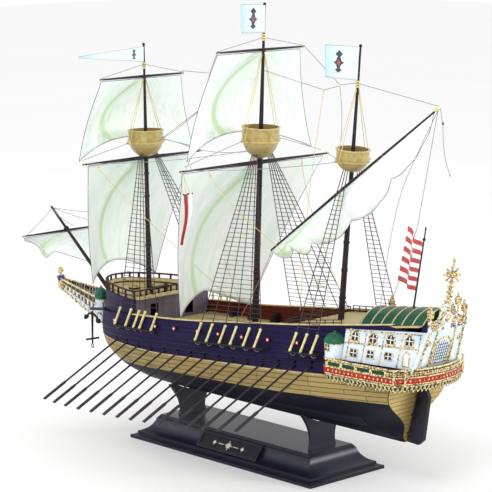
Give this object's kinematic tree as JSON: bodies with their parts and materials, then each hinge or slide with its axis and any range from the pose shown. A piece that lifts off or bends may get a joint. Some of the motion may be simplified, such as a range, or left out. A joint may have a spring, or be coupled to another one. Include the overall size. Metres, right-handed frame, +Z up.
{
  "type": "model sailing ship",
  "caption": "Galleon display model with gilded stern castle, oars, guns, full sails and rigging, resting in cradles on a stepped stand.",
  "frame": {"origin": "centre of the stand's underside", "axes": "+X towards the stern, +Y to starboard, +Z up; the bow points along -X"},
  "size_m": [0.5671, 0.2846, 0.4355],
  "materials": {
    "stand": "satin black-brown",
    "plate": "black plate with raised pale metal marks",
    "hull": "moulded planking, painted ochre with navy and black bands",
    "deck": "moulded deck planks",
    "planking": "weathered grey-brown planks",
    "dark_trim": "blackened",
    "rail": "pale ochre paint",
    "castle": "white paint with gilt window frames",
    "gallery": "red, green and gilt paint",
    "gilt": "gilt paint",
    "green": "green enamel with gilt ribs",
    "figure": "painted figure",
    "spar": "dark stained",
    "tops": "yellow ochre planks",
    "sail": "thin vacuum-formed sheet, creamy white",
    "flag": "printed cloth",
    "thread": "twisted thread",
    "net": "knotted thread",
    "oar": "dark stained"
  },
  "bodies": {
    "stand": {"stand_base": "stand", "stand_cradles": "stand", "nameplate": "plate"},
    "ship": {"hull_port": "hull", "hull_starboard": "hull", "main_deck": "deck", "forecastle_wall": "planking", "forecastle_bulkhead": "planking", "forecastle_deck": "deck", "forecastle_rail": "dark_trim", "quarter_deck": "deck", "quarter_bulkhead": "planking", "quarter_rails": "dark_trim", "cap_rails": "rail", "channels": "dark_trim", "lanyards": "rail", "castle_walls": "castle", "stern_panel": "castle", "quarter_galleries": "gallery", "stern_balcony": "gallery", "gallery_skirt": "gilt", "castle_roof": "green", "stern_crest": "gilt", "stern_finial": "gilt", "stern_lanterns": "gilt", "ensign_staff": "spar", "turrets": "castle", "turret_domes": "green", "beakhead": "gilt", "figurehead": "figure", "bowsprit": "spar", "deck_fittings": "planking", "gudgeons": "dark_trim", "fore_mast": "spar", "main_mast": "spar", "mizzen_mast": "spar", "fore_top": "tops", "main_top": "tops", "mizzen_top": "tops", "course_yards": "spar", "topsail_yards": "spar", "lateen_yard": "spar", "sprit_yard": "spar", "course_sails": "sail", "topsails": "sail", "lateen_sail": "sail", "spritsail": "sail", "mast_flags": "flag", "ensign": "flag", "guns": "dark_trim", "topmast_shrouds": "thread", "rigging_lines": "thread", "peak_pendant": "thread", "shrouds_port": "net", "shrouds_starboard": "net"},
    "rudder": {"rudder": "hull"},
    "port_oars": {"port_oars": "oar"},
    "starboard_oars": {"starboard_oars": "oar"},
    "anchor_port": {"anchor_port": "dark_trim"},
    "anchor_starboard": {"anchor_starboard": "dark_trim"}
  },
  "joints": [
    {"name": "lift_off", "type": "slide", "parent": "stand", "child": "ship", "axis": [0, 0, 1], "range_m": [0, 0.06]},
    {"name": "rudder_swing", "type": "hinge", "parent": "ship", "child": "rudder", "pos_m": [0.20668, 0, 0.076], "axis": [0.2504, 0, 0.9682], "range_deg": [-30, 30]},
    {"name": "port_oars_stroke", "type": "hinge", "parent": "ship", "child": "port_oars", "pos_m": [-0.0075, -0.05577, 0.10473], "axis": [0.9975, 0, 0.0703], "range_deg": [-8, 6]},
    {"name": "starboard_oars_stroke", "type": "hinge", "parent": "ship", "child": "starboard_oars", "pos_m": [-0.0075, 0.05577, 0.10473], "axis": [0.9975, 0, 0.0703], "range_deg": [-6, 8]},
    {"name": "port_anchor_swing", "type": "hinge", "parent": "ship", "child": "anchor_port", "pos_m": [-0.2056, -0.031, 0.1126], "axis": [1, 0, 0], "range_deg": [-25, 6]},
    {"name": "starboard_anchor_swing", "type": "hinge", "parent": "ship", "child": "anchor_starboard", "pos_m": [-0.2056, 0.031, 0.1126], "axis": [1, 0, 0], "range_deg": [-6, 25]}
  ]
}
